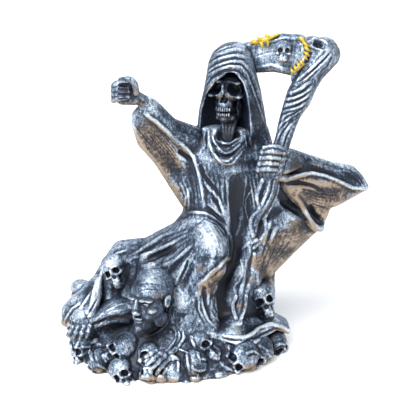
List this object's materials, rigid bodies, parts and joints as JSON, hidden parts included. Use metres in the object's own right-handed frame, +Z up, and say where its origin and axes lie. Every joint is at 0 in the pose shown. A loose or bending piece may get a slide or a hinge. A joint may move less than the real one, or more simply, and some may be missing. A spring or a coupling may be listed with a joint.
{
  "type": "santa muerte statue",
  "caption": "Cast figure of a hooded skeleton with raised fist and scythe, half seated on a heap of skulls, with a gaunt man crawling at its front.",
  "frame": {"origin": "middle of the box on the flat underside", "axes": "+Z up, the figure faces -Y, +X to the viewer's right, where the cloak blows"},
  "size_m": [0.2246, 0.1388, 0.2257],
  "materials": {
    "silvered_black_resin": "black cast resin dry-brushed with silver, tan undercoat under the overhangs, gold touches on the blade"
  },
  "bodies": {
    "root": {"santa_muerte_figure": "silvered_black_resin"}
  },
  "joints": []
}
